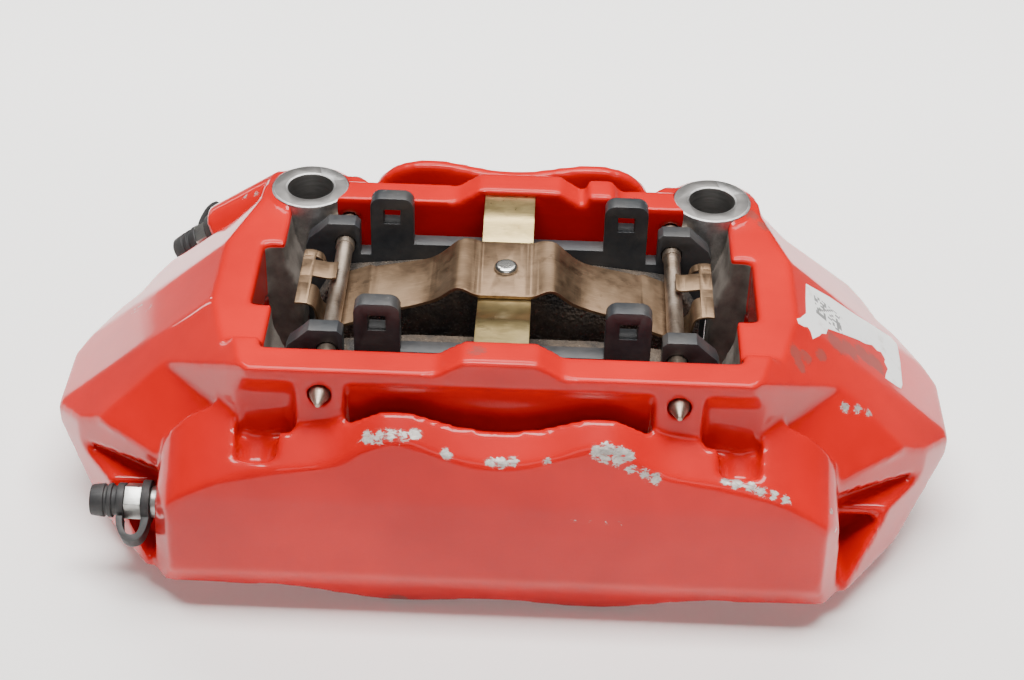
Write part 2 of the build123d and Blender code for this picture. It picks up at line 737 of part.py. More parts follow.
leaf_end_z = pin_z - pin_r + 0.3
leaf_top = [
    (0, 38.5), (4.5, 38.5), (8.5, 38.7), (11.5, 39.8), (14.5, 39.9), (wing(0), 37.8),
    (wing(0.106), 34.9), (wing(0.228), 33.0), (wing(0.41), 31.4), (wing(0.593), 29.9),
    (wing(0.745), leaf_end_z + 3.2), (wing(0.8815), leaf_end_z + 1.3), (wing(1), leaf_end_z),
]
leaf_half_widths = [
    (0, 14.2), (10, 14.2), (14, 13.0), (wing(0.198), 11.6), (wing(0.714), 12.6),
    (wing(0.775), 14.2), (wing(1), 14.2),
]
with BuildPart() as spring_leaf:
    extrude(strip_face(xz(DISC_Y + 20), mirrored(leaf_top), leaf_t), amount=40)
    with BuildSketch(Plane.XY):
        with BuildLine():
            edge = mirrored([(x, -w) for x, w in leaf_half_widths])
            ring = edge + [(-x, -y) for x, y in edge]
            Polyline(*[(x, DISC_Y + y) for x, y in ring], close=True)
        make_face()
    extrude(amount=60, mode=Mode.INTERSECT)
    with Locations((0, DISC_Y, 38)):
        Cylinder(2.3, 6, mode=Mode.SUBTRACT)
write(spring_leaf.part, "spring_leaf")

strip_top = [
    (-window_front_d - 2.6, bump_z - 1.9), (-window_front_d + 1, bump_z - 1.9), (-33, 40.2),
    (-28, 39.8), (-23, 38.3), (-18, 37.3), (-9, 37.2), (0, 37.2), (9, 37.2), (15, 37.2),
    (20, 38.4), (25, 39.9), (31, 40.2), (window_back_d - 1, bump_z - 1.9),
    (window_back_d + 2.6, bump_z - 1.9),
]
with BuildPart() as spring_strip:
    section = strip_face(yz(-strip_half), [(DISC_Y + d, z) for d, z in strip_top], strip_t)
    extrude(section, amount=2 * strip_half)
    with Locations((0, DISC_Y, 37)):
        Cylinder(2.3, 6, mode=Mode.SUBTRACT)
write(spring_strip.part, "spring_strip")

with BuildPart() as spring_rivet:
    add(rod((0, DISC_Y, 36.2), (0, DISC_Y, 38.6), 2.27))
    add(rod((0, DISC_Y, 35.2), (0, DISC_Y, 36.25), 2.8, 3.5))
    add(rod((0, DISC_Y, 38.58), (0, DISC_Y, 40.2), 3.7))
    fillet(spring_rivet.edges().group_by(Axis.Z)[-1], radius=1.4)
write(spring_rivet.part, "spring_rivet")

# ---- side clips at the pins ----------------------------------------------------------------------------
# points run from the clip's foot to its tip, measured from the pin's axis
clip_foot = 11.5
clip_finger = [
    (clip_foot, pin_r + 2), (8.2, pin_r + 2), (5.2, pin_r + 1.6), (2.7, pin_r + 1.2), (0.5, pin_r + 1.6)
]
clip_hook = [
    (clip_foot, pin_r + 2), (8.2, pin_r + 2), (pin_r + 2.8, 3.8), (pin_r + 1.8, 0.5),
    (pin_r + 0.6, 0.7 - pin_r), (1.6, -pin_r - 0.4), (-0.2, -pin_r - 0.4),
]
clip_top_z = pin_z + pin_r + 2
clip_spans = [("finger", 0.5, 9.0), ("hook", -13.9, -3.5), ("hook", 11.0, 14.3)]
for hand in HANDS:
    with BuildPart() as clip:
        for kind, near, far in clip_spans:
            points = clip_finger if kind == "finger" else clip_hook
            points = [(hand * (pin_x + x), pin_z + z) for x, z in points]
            if hand > 0:
                points.reverse()
            extrude(strip_face(xz(DISC_Y + far), points, clip_t), amount=far - near)
        foot_x = pin_x + clip_foot
        low = (hand * (foot_x - 3.8), DISC_Y - 13.9, clip_top_z - clip_t)
        high = (hand * foot_x, DISC_Y + 14.3, clip_top_z)
        add(slab(low, high))
        low = (hand * (foot_x - clip_t), DISC_Y - 9, clip_top_z - 3.5)
        high = (hand * foot_x, DISC_Y + 9, clip_top_z)
        add(slab(low, high))
    write(clip.part, f"side_clip_{HANDS[hand]}")

# ---- bleed screws, rubber caps and straps ----------------------------------------
for side in SIDES:
    tag = SIDES[side]
    way = Vector(*bleeders[side]["way"]).normalized()
    seat = beyond(side, 0)

    with BuildPart() as bleed_screw:
        add(rod(beyond(side, -16.5), beyond(side, 0.3), bleed_thread_r - 0.05))
        add(rod(beyond(side, -19.0), beyond(side, -16.5), 1.2, bleed_thread_r - 0.6))
        add(rod(beyond(side, 0.3), beyond(side, 3.4), 4.2))
        with BuildSketch(Plane(origin=beyond(side, 3.2), z_dir=way)):
            RegularPolygon(radius=bleed_hex / 2, side_count=6, major_radius=False)
        extrude(amount=5.0)
        add(rod(beyond(side, 8.2), beyond(side, 10.0), 2.7))
        add(rod(beyond(side, 10.0), beyond(side, 12.6), 3.5, 3.1))
        add(rod(beyond(side, 12.6), beyond(side, 15.5), 2.7))
        add(rod(beyond(side, 15.6), beyond(side, 6.0), 0.8), mode=Mode.SUBTRACT)
    write(bleed_screw.part, f"bleed_screw_{tag}")

    with BuildPart() as bleed_cap:
        add(rod(beyond(side, 8.3), beyond(side, 10.6), 5.5))
        add(rod(beyond(side, 10.6), beyond(side, 12.2), 4.5))
        add(rod(beyond(side, 12.2), beyond(side, 13.6), 5.3, 5.2))
        add(rod(beyond(side, 13.6), beyond(side, 14.6), 4.6))
        add(rod(beyond(side, 14.6), beyond(side, 18.8), 5.2, 4.7))
        add(rod(beyond(side, 8.2), beyond(side, 15.9), 3.8), mode=Mode.SUBTRACT)
    write(bleed_cap.part, f"bleed_cap_{tag}")

    with BuildPart() as bleed_strap:
        add(rod(beyond(side, 0.5), beyond(side, 2.9), 6.6))
        add(rod(beyond(side, 0.4), beyond(side, 3.0), 4.55), mode=Mode.SUBTRACT)
        # the strap hangs in a bow from the ring to the cap
        bow = Plane(origin=seat, x_dir=way, z_dir=way.cross(Vector(*bleeders[side]["hang"])))
        with BuildSketch(bow.offset(-2.6)):
            with BuildLine():
                outer = [(0.5, 5.5), (0.9, 9.5), (3.2, 13.3), (6.6, 13.6), (9.3, 10.6), (10.4, 5.9)]
                inner = [(8.4, 5.9), (7.9, 9.4), (6.1, 11.6), (4.0, 11.4), (2.9, 9.0), (2.9, 5.5)]
                Spline(*outer)
                Line(outer[-1], inner[0])
                Spline(*inner)
                Line(inner[-1], outer[0])
            make_face()
        extrude(amount=5.2)
    write(bleed_strap.part, f"bleed_strap_{tag}")
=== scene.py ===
"""Fixed four-piston brake caliper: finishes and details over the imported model."""

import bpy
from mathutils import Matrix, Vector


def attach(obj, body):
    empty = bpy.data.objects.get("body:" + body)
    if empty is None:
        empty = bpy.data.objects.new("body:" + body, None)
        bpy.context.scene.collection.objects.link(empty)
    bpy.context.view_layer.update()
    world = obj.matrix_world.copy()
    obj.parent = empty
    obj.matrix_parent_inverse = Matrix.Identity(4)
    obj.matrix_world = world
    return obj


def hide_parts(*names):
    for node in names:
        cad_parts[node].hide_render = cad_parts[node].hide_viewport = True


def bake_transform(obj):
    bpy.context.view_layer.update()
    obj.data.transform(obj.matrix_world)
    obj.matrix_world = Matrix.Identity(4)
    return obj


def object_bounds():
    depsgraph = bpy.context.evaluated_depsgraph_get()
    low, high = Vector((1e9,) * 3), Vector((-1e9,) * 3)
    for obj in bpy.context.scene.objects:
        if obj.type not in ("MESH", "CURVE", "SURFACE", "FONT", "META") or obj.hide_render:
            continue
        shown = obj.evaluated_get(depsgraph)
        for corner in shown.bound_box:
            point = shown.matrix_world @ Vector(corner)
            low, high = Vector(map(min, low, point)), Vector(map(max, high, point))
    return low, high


bl_info = {
    "name": "Brake Caliper",
    "version": (1, 0, 0),
    "blender": (4, 5, 0),
    "location": "View3D > Sidebar > Caliper",
    "description": "Builds the visible pieces and finishes of a fixed disc brake caliper",
    "category": "Object",
}

import math

import bpy
import numpy as np
from bpy.props import FloatProperty, FloatVectorProperty, IntProperty, PointerProperty
from mathutils import Euler, Matrix, Vector

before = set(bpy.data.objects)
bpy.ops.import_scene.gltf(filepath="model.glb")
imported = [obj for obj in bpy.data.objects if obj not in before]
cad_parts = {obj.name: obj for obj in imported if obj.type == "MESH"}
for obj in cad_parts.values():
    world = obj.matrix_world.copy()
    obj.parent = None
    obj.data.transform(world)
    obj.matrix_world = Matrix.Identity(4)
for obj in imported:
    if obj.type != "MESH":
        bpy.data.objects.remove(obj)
CAD_LOW, CAD_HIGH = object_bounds()

OUTBOARD, INBOARD = "outboard", "inboard"
LEFT, RIGHT = "left", "right"
MM = 0.001
DISC_Y = -46.0  # the disc's middle plane, in millimetres
LUG_X = 65.0
LUG_R, LUG_HEIGHT, LUG_BORE_R = 12.6, 36.0, 7.2
PIN_X, PIN_Z = 51.8, 28.0
PIN_HOLE_R = 3.6
PISTON_X, PISTON_Z = 28.0, -7.0
# how far from the disc's middle plane a dust boot leaves the housing and meets its piston
BOOT_HOUSING_D, BOOT_PISTON_D = 34.3, 33.0
TAB_RUB_LOW, TAB_RUB_RUN = 40.0, 5.0  # height over which the pads' tabs are rubbed brighter
MOST_FACES = 190000  # triangles kept in the casting's skin
WINDOW_HALF_X, WINDOW_FRONT, WINDOW_BACK, WINDOW_RIM_Z = 76.0, -40.2, 37.2, 32.5  # dusty walls
SHOULDER_X, SHOULDER_Z, SLAB_FALL = 87.6, 34.0, 0.89  # where the end slabs fall away, and how fast
CAMERA_LENS = 70.82
CAMERA_PLACE = (11.423, -547.783, 392.271)
CAMERA_DIP, CAMERA_SWING, CAMERA_ROLL = 37.203, 1.038, 1.471  # degrees
# two points on each bleed screw's axis, between its strap's ring and its cap
BLEED_AXES = {
    "outboard": ((-107.7, -93.3, -19.5), (-112.7, -93.3, -19.5)),
    "inboard": ((-99.56, 12.38, 7.62), (-103.56, 12.98, 4.68)),
}


# ---- small tools ---------------------------------------------------------------------


def select_only(*pieces):
    """Selects just these objects, in object mode."""
    if bpy.context.object and bpy.context.object.mode != "OBJECT":
        bpy.ops.object.mode_set(mode="OBJECT")
    bpy.ops.object.select_all(action="DESELECT")
    for piece in pieces:
        piece.select_set(True)
    bpy.context.view_layer.objects.active = pieces[0]


def edit(piece):
    """Opens a piece in edit mode with nothing selected."""
    select_only(piece)
    bpy.ops.object.mode_set(mode="EDIT")
    bpy.ops.mesh.select_all(action="DESELECT")


def done():
    """Leaves edit mode."""
    bpy.ops.object.mode_set(mode="OBJECT")


def settle(piece):
    """Puts a piece's place into its mesh, so that its object stands at the origin."""
    select_only(piece)
    bpy.ops.object.transform_apply(location=True, rotation=True, scale=True)


def apply_all(piece):
    """Applies every modifier of a piece."""
    select_only(piece)
    for modifier in list(piece.modifiers):
        bpy.ops.object.modifier_apply(modifier=modifier.name)


def fresh_copy(node, name):
    """A merged copy of a CAD node's shape, ready to be worked on."""
    piece = bpy.data.objects.new(name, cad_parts[node].data.copy())
    piece.data.name = name
    piece.data.materials.clear()
    bpy.context.scene.collection.objects.link(piece)
    select_only(piece)
    bpy.ops.object.mode_set(mode="EDIT")
    bpy.ops.mesh.select_all(action="SELECT")
    bpy.ops.mesh.remove_doubles(threshold=2e-6)
    bpy.ops.mesh.customdata_custom_splitnormals_clear()
    bpy.ops.object.mode_set(mode="OBJECT")
    return piece


def soften_edges(piece, width, segments=2, angle=32.0):
    """Cleans flat faces and rounds every sharp edge by a small width, in millimetres."""
    edit(piece)
    bpy.ops.mesh.select_all(action="SELECT")
    bpy.ops.mesh.dissolve_limited(angle_limit=math.radians(1.0))
    done()
    bevel = piece.modifiers.new("eased edges", "BEVEL")
    bevel.width = width * MM
    bevel.segments = segments
    bevel.limit_method = "ANGLE"
    bevel.angle_limit = math.radians(angle)
    bevel.harden_normals = False
    bevel.use_clamp_overlap = True
    apply_all(piece)
    smooth(piece, 40)


def smooth(piece, angle=35.0):
    """Smooth shading with crisp edges over an angle."""
    select_only(piece)
    bpy.ops.object.shade_smooth_by_angle(angle=math.radians(angle))


def finish_piece(piece, material, body, slot, *nodes):
    """Gives a piece its finish and body, and hides the CAD nodes it stands for."""
    piece.data.materials.clear()
    piece.data.materials.append(material)
    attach(piece, body)
    if nodes:
        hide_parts(*nodes)
    return piece


def bending_piece(node, name, material, slot, ease, body, start, end):
    """A rubber piece copied from a CAD node, its edges softened, with its material; the CAD node is
    hidden.
    """
    piece = fresh_copy(node, name)
    soften_edges(piece, ease, 2, 24)
    piece.data.materials.append(material)
    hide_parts(node)
    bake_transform(piece)
    return piece


def repaint(node, material):
    """Swaps a CAD node's material."""
    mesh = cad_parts[node].data
    mesh.materials.clear()
    mesh.materials.append(material)


def boolean(piece, cutter, operation="DIFFERENCE"):
    """Cuts or joins a closed shape, then drops it."""
    modifier = piece.modifiers.new("cut", "BOOLEAN")
    modifier.operation = operation
    modifier.solver = "MANIFOLD"
    modifier.object = cutter
    apply_all(piece)
    bpy.data.objects.remove(cutter)


def bar(name, start, end, radius, sides=48, end_radius=None):
    """A round bar between two points, all in millimetres."""
    a, b = Vector(start) * MM, Vector(end) * MM
    turn = (b - a).to_track_quat("Z", "Y").to_euler()
    bpy.ops.object.select_all(action="DESELECT")
    bpy.ops.mesh.primitive_cone_add(
        vertices=sides,
        radius1=radius * MM,
        radius2=(radius if end_radius is None else end_radius) * MM,
        depth=(b - a).length,
        location=(a + b) / 2,
        rotation=turn,
    )
    piece = bpy.context.object
    piece.name = name
    settle(piece)
    return piece


def joined(name, pieces):
    """Several pieces as one mesh."""
    select_only(*pieces)
    bpy.ops.object.join()
    piece = bpy.context.object
    piece.name = name
    return piece


# ---- finishes ------------------------------------------------------------------------------


class Finish:
    """A procedural material, built node by node around one Principled shader."""

    def __init__(self, name, roughness=0.5, metallic=0.0, colour=(0.5, 0.5, 0.5)):
        self.material = bpy.data.materials.new(name)
        self.material.use_nodes = True
        self.tree = self.material.node_tree
        self.shader = self.tree.nodes["Principled BSDF"]
        self.shader.inputs["Roughness"].default_value = roughness
        self.shader.inputs["Metallic"].default_value = metallic
        self.shader.inputs["Base Color"].default_value = (*colour, 1)
        self.place = self.tree.nodes.new("ShaderNodeTexCoord").outputs["Object"]

    def node(self, kind, **values):
        made = self.tree.nodes.new("ShaderNode" + kind)
        for key, value in values.items():
            setattr(made, key, value)
        return made

    def link(self, source, target):
        self.tree.links.new(source, target)

    def noise(self, scale, detail=4.0, roughness=0.55, stretch=None, distortion=0.0):
        """Noise over the piece's own space; scale is cells per metre."""
        texture = self.node("TexNoise")
        texture.inputs["Scale"].default_value = scale
        texture.inputs["Detail"].default_value = detail
        texture.inputs["Roughness"].default_value = roughness
        texture.inputs["Distortion"].default_value = distortion
        if stretch:
            mapping = self.node("Mapping")
            mapping.inputs["Scale"].default_value = stretch
            self.link(self.place, mapping.inputs["Vector"])
            self.link(mapping.outputs["Vector"], texture.inputs["Vector"])
        else:
            self.link(self.place, texture.inputs["Vector"])
        return texture.outputs["Fac"]

    def cells(self, scale, feature="F1"):
        texture = self.node("TexVoronoi", feature=feature)
        texture.inputs["Scale"].default_value = scale
        self.link(self.place, texture.inputs["Vector"])
        return texture.outputs["Distance"]

    def ramp(self, source, stops):
        """A grey ramp: stops are (position, value)."""
        ramp = self.node("ValToRGB")
        elements = ramp.color_ramp.elements
        while len(elements) < len(stops):
            elements.new(0.5)
        for element, (position, value) in zip(elements, stops):
            element.position = position
            element.color = (value, value, value, 1)
        self.link(source, ramp.inputs["Fac"])
        return ramp.outputs["Color"]

    def math(self, operation, a, b=0.0, c=None):
        made = self.node("Math", operation=operation)
        for socket, value in zip(made.inputs, (a, b, c)):
            if value is None:
                continue
            if isinstance(value, (int, float)):
                socket.default_value = value
            else:
                self.link(value, socket)
        return made.outputs["Value"]

    def mix(self, factor, a, b):
        """Mixes two colours, or two outputs, by a factor."""
        made = self.node("Mix", data_type="RGBA")
        for socket, value in ((made.inputs[0], factor), (made.inputs[6], a), (made.inputs[7], b)):
            if isinstance(value, (int, float)):
                socket.default_value = value
            elif isinstance(value, tuple):
                socket.default_value = (*value, 1)
            else:
                self.link(value, socket)
        return made.outputs[2]

    def blend_value(self, factor, a, b):
        """Mixes two numbers by a factor."""
        made = self.node("Mix", data_type="FLOAT")
        for socket, value in ((made.inputs[0], factor), (made.inputs[2], a), (made.inputs[3], b)):
            if isinstance(value, (int, float)):
                socket.default_value = value
            else:
                self.link(value, socket)
        return made.outputs[0]

    def attribute(self, name):
        return self.node("Attribute", attribute_name=name).outputs["Fac"]

    def colour(self, source):
        self.link(source, self.shader.inputs["Base Color"])

    def rough(self, source):
        self.link(source, self.shader.inputs["Roughness"])

    def bump(self, height, strength, distance, after=None):
        made = self.node("Bump")
        made.inputs["Strength"].default_value = strength
        made.inputs["Distance"].default_value = distance
        self.link(height, made.inputs["Height"])
        if after is not None:
            self.link(after, made.inputs["Normal"])
        self.link(made.outputs["Normal"], self.shader.inputs["Normal"])
        return made.outputs["Normal"]


def red_paint(settings):
    """Thick gloss paint over a cast housing, chipped to metal where wear is marked."""
    f = Finish("red gloss paint", roughness=0.45)
    red = tuple(settings.paint_colour)
    deep = tuple(c * 0.80 for c in red)
    mottled = f.mix(f.ramp(f.noise(22, 3), [(0.35, 0.0), (0.65, 1.0)]), deep, red)
    # chips: a spot only breaks through where grainy noise lets it
    grain = f.noise(820, 6, 0.75, (0.55, 1, 1), 0.6)
    coarse = f.noise(230, 5, 0.7, (0.5, 1, 1.2))
    edge = f.math("ADD", f.math("MULTIPLY", grain, 0.5), f.math("MULTIPLY", coarse, 0.5))
    wear = f.math("MULTIPLY", f.attribute("wear"), 0.72)
    broken = f.math("ADD", wear, f.math("MULTIPLY", f.math("SUBTRACT", edge, 0.5), 2.4))
    bare = f.ramp(broken, [(0.52, 0.0), (0.58, 1.0)])
    scuff = f.ramp(broken, [(0.40, 0.0), (0.56, 1.0)])
    scuff = f.math("MULTIPLY", scuff, f.ramp(wear, [(0.02, 0.0), (0.12, 1.0)]))
    bare = f.math("MULTIPLY", bare, f.ramp(wear, [(0.02, 0.0), (0.12, 1.0)]))
    metal = f.mix(f.ramp(grain, [(0.35, 0.0), (0.7, 1.0)]), (0.30, 0.28, 0.26), (0.72, 0.69, 0.65))
    # dusty, unpainted-looking walls of the pad window
    dust = f.ramp(
        f.math("ADD", f.attribute("dust"), f.math("MULTIPLY", f.math("SUBTRACT", coarse, 0.5), 0.5)),
        [(0.35, 0.0), (0.65, 1.0)],
    )
    patches = f.ramp(f.noise(140, 5), [(0.3, 0.0), (0.7, 1.0)])
    grime = f.mix(patches, (0.085, 0.072, 0.062), (0.20, 0.175, 0.155))
    stained = f.mix(f.math("MULTIPLY", scuff, 0.55), mottled, (0.36, 0.10, 0.085))
    glue = f.math("ADD", f.attribute("stain"), f.math("MULTIPLY", f.math("SUBTRACT", edge, 0.5), 1.6))
    glued = f.math("MULTIPLY", f.ramp(glue, [(0.45, 0.0), (0.62, 1.0)]), 0.75)
    stained = f.mix(glued, stained, (0.21, 0.055, 0.045))
    painted = f.mix(dust, stained, grime)
    f.colour(f.mix(bare, painted, metal))
    worn = f.math("MAXIMUM", bare, dust)
    f.rough(f.blend_value(worn, 0.45, 0.62))
    f.link(f.math("MULTIPLY", bare, 0.9), f.shader.inputs["Metallic"])
    f.link(f.math("SUBTRACT", 1.0, worn), f.shader.inputs["Coat Weight"])
    f.shader.inputs["Coat Roughness"].default_value = settings.coat_roughness
    f.shader.inputs["Coat IOR"].default_value = 1.3
    f.shader.inputs["Specular IOR Level"].default_value = 0.12
    peel = f.bump(f.noise(260, 2, 0.5), 0.06, 0.0006)
    pits = f.math("SUBTRACT", f.math("MULTIPLY", edge, worn), f.math("MULTIPLY", bare, 0.8))
    f.bump(pits, 0.5, 0.0005, peel)
    return f.material


def machined_aluminium():
    """Turned and lightly oxidised bare aluminium."""
    f = Finish("machined aluminium", roughness=0.36, metallic=1.0)
    spots = f.ramp(f.noise(520, 5, 0.65), [(0.3, 0.0), (0.75, 1.0)])
    f.colour(f.mix(spots, (0.36, 0.355, 0.35), (0.60, 0.595, 0.585)))
    f.rough(f.blend_value(f.noise(180, 4), 0.30, 0.52))
    f.bump(f.noise(900, 3, 0.6), 0.18, 0.0003)
    return f.material


def shaded_bore_finish():
    """Wall of a drilled hole: dull, with tool rings, and painted darker as shade inside the hole."""
    f = Finish("drilled aluminium with painted shade", roughness=0.5, metallic=1.0)
    rings = f.noise(160, 4, 0.6, stretch=(1, 1, 7))
    # painted shade: the bore's colour is kept darker than the lug face's, the rings are tool marks
    f.colour(f.mix(rings, (0.14, 0.135, 0.13), (0.34, 0.33, 0.32)))
    f.bump(rings, 0.25, 0.0003)
    return f.material


def black_plate():
    """Black powder coat on steel, rubbed bright along its edges."""
    f = Finish("black coated steel", roughness=0.42)
    fine = f.noise(420, 5, 0.65)
    dusty = f.ramp(f.noise(60, 4, 0.6), [(0.42, 0.0), (0.75, 1.0)])
    base = f.mix(fine, (0.012, 0.014, 0.017), (0.035, 0.038, 0.042))
    base = f.mix(f.math("MULTIPLY", dusty, 0.35), base, (0.12, 0.105, 0.09))
    rubbed = f.math("ADD", f.attribute("rub"), f.math("SUBTRACT", fine, 0.5))
    rub = f.ramp(rubbed, [(0.50, 0.0), (0.68, 1.0)])
    f.colour(f.mix(rub, base, (0.34, 0.33, 0.32)))
    f.link(f.math("MULTIPLY", rub, 0.8), f.shader.inputs["Metallic"])
    f.rough(f.blend_value(fine, 0.30, 0.55))
    f.bump(f.noise(700, 3), 0.16, 0.0004)
    return f.material


def friction_lining():
    """Pressed friction material: dark, gritty, flecked with metal and brown dust."""
    f = Finish("friction lining", roughness=0.9)
    grit = f.cells(900)
    flecks = f.ramp(f.cells(520), [(0.0, 1.0), (0.16, 0.0)])
    brown = f.ramp(f.noise(70, 5, 0.6), [(0.40, 0.0), (0.68, 1.0)])
    base = f.mix(brown, (0.030, 0.027, 0.025), (0.135, 0.098, 0.068))
    f.colour(f.mix(f.math("MULTIPLY", flecks, 0.5), base, (0.33, 0.27, 0.20)))
    f.bump(f.math("ADD", grit, f.noise(240, 6, 0.7)), 0.8, 0.0009)
    return f.material


def tarnished(name, dark, light, rough=(0.28, 0.55), scale=55.0, dirt=0.5, stretch=None):
    """Tarnished sheet metal with stains, rubbed patches and fine scratches."""
    f = Finish(name, roughness=0.4, metallic=1.0)
    cloud = f.ramp(f.noise(scale, 5, 0.62, stretch), [(0.32, 0.0), (0.70, 1.0)])
    fine = f.noise(scale * 9, 4, 0.6)
    scratches = f.ramp(f.noise(260, 3, 0.5, stretch=(1, 14, 1)), [(0.56, 0.0), (0.64, 1.0)])
    base = f.mix(cloud, dark, light)
    base = f.mix(f.math("MULTIPLY", fine, 0.25), base, tuple(c * 0.45 for c in dark))
    spots = f.ramp(f.noise(scale * 3.1, 6, 0.7), [(0.58, 0.0), (0.66, 1.0)])
    base = f.mix(f.math("MULTIPLY", spots, dirt), base, tuple(c * 0.30 for c in dark))
    f.colour(f.mix(f.math("MULTIPLY", scratches, 0.22), base, tuple(min(c * 1.4, 1) for c in light)))
    f.rough(f.blend_value(f.math("ADD", f.math("MULTIPLY", cloud, -0.4), fine), rough[1], rough[0]))
    f.bump(f.math("ADD", fine, f.math("MULTIPLY", spots, 0.4)), 0.16, 0.0003)
    return f.material


def black_rubber(name="moulded rubber", tint=(0.018, 0.018, 0.019)):
    """Matt moulded rubber with a little dust in it."""
    f = Finish(name, roughness=0.62)
    fine = f.noise(600, 4)
    dusty = f.ramp(f.noise(90, 4, 0.6), [(0.45, 0.0), (0.8, 1.0)])
    f.colour(f.mix(f.math("MULTIPLY", dusty, 0.45), tint, (0.10, 0.095, 0.088)))
    f.rough(f.blend_value(fine, 0.45, 0.75))
    f.bump(fine, 0.22, 0.0004)
    return f.material


# ---- settings -----------------------------------------------------------------------------------


class CaliperSettings(bpy.types.PropertyGroup):
    """Sizes and colours a user may change."""

    paint_colour: FloatVectorProperty(
        name="Paint", description="Colour of the gloss paint", subtype="COLOR", size=3,
        default=(0.60, 0.003, 0.003), min=0, max=1,
    )
    coat_roughness: FloatProperty(
        name="Coat roughness", description="How blurred the clear coat's reflections are",
        default=0.05, min=0, max=1,
    )
    skin_cell: FloatProperty(
        name="Casting cell", description="Cell size of the casting's skin",
        default=0.00115, min=0.0008, max=0.004, unit="LENGTH",
    )
    soften_steps: IntProperty(
        name="Soften", description="Smoothing passes that round the casting's edges",
        default=5, min=0, max=40,
    )
    edge_width: FloatProperty(
        name="Edge ease", description="Rounding of stamped and turned edges",
        default=0.00045, min=0, max=0.002, unit="LENGTH",
    )
    label_size: FloatProperty(
        name="Label", description="Length of the torn label, seen from above",
        default=0.038, min=0.01, max=0.045, unit="LENGTH",
    )


# ---- stage ---------------------------------------------------------------------------------------


class CALIPER_OT_stage(bpy.types.Operator):
    """Adds the pale floor, the soft studio lights and the camera"""

    bl_idname = "caliper.stage"
    bl_label = "Stage"

    def execute(self, context):
        f = Finish("studio floor", roughness=0.6)
        # pale round the caliper, glowing a little behind it, then falling away to grey
        split = f.node("SeparateXYZ")
        f.link(f.place, split.inputs[0])
        reach = f.node("VectorMath", operation="LENGTH")
        f.link(f.place, reach.inputs[0])
        off = f.math("MAXIMUM", f.math("MULTIPLY", reach.outputs["Value"], 0.55), split.outputs["Y"])
        far = f.ramp(off, [(0.315, 0.0), (0.37, 1.0)])
        pale = f.mix(f.noise(3, 3), (0.92, 0.905, 0.885), (0.95, 0.94, 0.925))
        f.colour(f.mix(far, pale, (0.10, 0.098, 0.095)))
        behind = f.ramp(f.math("ADD", split.outputs["Y"], 0.5), [(0.36, 0.0), (0.72, 1.0)])
        glow = f.math("MULTIPLY", behind, f.math("SUBTRACT", 1.0, far))
        f.link(f.math("MULTIPLY", glow, 0.8), f.shader.inputs["Emission Strength"])
        f.shader.inputs["Emission Color"].default_value = (1.0, 0.985, 0.965, 1)
        bpy.ops.object.select_all(action="DESELECT")
        bpy.ops.mesh.primitive_grid_add(
            x_subdivisions=8, y_subdivisions=8, size=6, location=(0, 0.6, CAD_LOW.z - 0.0002)
        )
        floor = context.object
        floor.name = "studio_floor"
        settle(floor)
        floor.data.materials.append(f.material)

        world = bpy.data.worlds.new("studio")
        context.scene.world = world
        world.use_nodes = True
        world.node_tree.nodes["Background"].inputs["Color"].default_value = (1.0, 0.985, 0.965, 1)
        world.node_tree.nodes["Background"].inputs["Strength"].default_value = 0.06

        # name, place, what it points at, length and width, power
        lights = [
            ("overhead", (0.0, -0.12, 1.25), (0, -0.05, 0), (1.15, 0.42), 38.0),
            ("backdrop_wash", (0.0, 1.5, 2.3), (0, 1.1, 0), (2.6, 0.8), 58.0),
            ("window_left", (-0.94, 0.92, 0.16), (0, 0, 0.02), (0.035, 0.20), 0.30),
            ("window_far_left", (-1.06, 0.80, 0.15), (0, 0, 0.02), (0.03, 0.17), 0.22),
            ("front_fill", (0.15, -1.5, 0.9), (0, 0, 0), (1.4, 0.6), 6.0),
        ]
        for name, place, aim, (length, width), power in lights:
            lamp = bpy.data.lights.new(name, "AREA")
            lamp.shape = "RECTANGLE"
            lamp.size, lamp.size_y, lamp.energy = length, width, power
            lamp.color = (1.0, 0.985, 0.965)
            holder = bpy.data.objects.new(name, lamp)
            holder.location = place
            holder.rotation_euler = (Vector(aim) - Vector(place)).to_track_quat("-Z", "Y").to_euler()
            context.scene.collection.objects.link(holder)

        camera = bpy.data.cameras.new("studio_camera")
        camera.sensor_width = 36.0
        camera.lens = CAMERA_LENS
        holder = bpy.data.objects.new("studio_camera", camera)
        holder.location = Vector(CAMERA_PLACE) * MM
        turn = Euler((math.radians(90 - CAMERA_DIP), 0, math.radians(CAMERA_SWING))).to_matrix()
        turn = turn @ Matrix.Rotation(math.radians(CAMERA_ROLL), 3, "Z")
        holder.rotation_euler = turn.to_euler()
        context.scene.collection.objects.link(holder)
        context.scene.camera = holder
        return {"FINISHED"}


# ---- casting ----------------------------------------------------------------------------------------

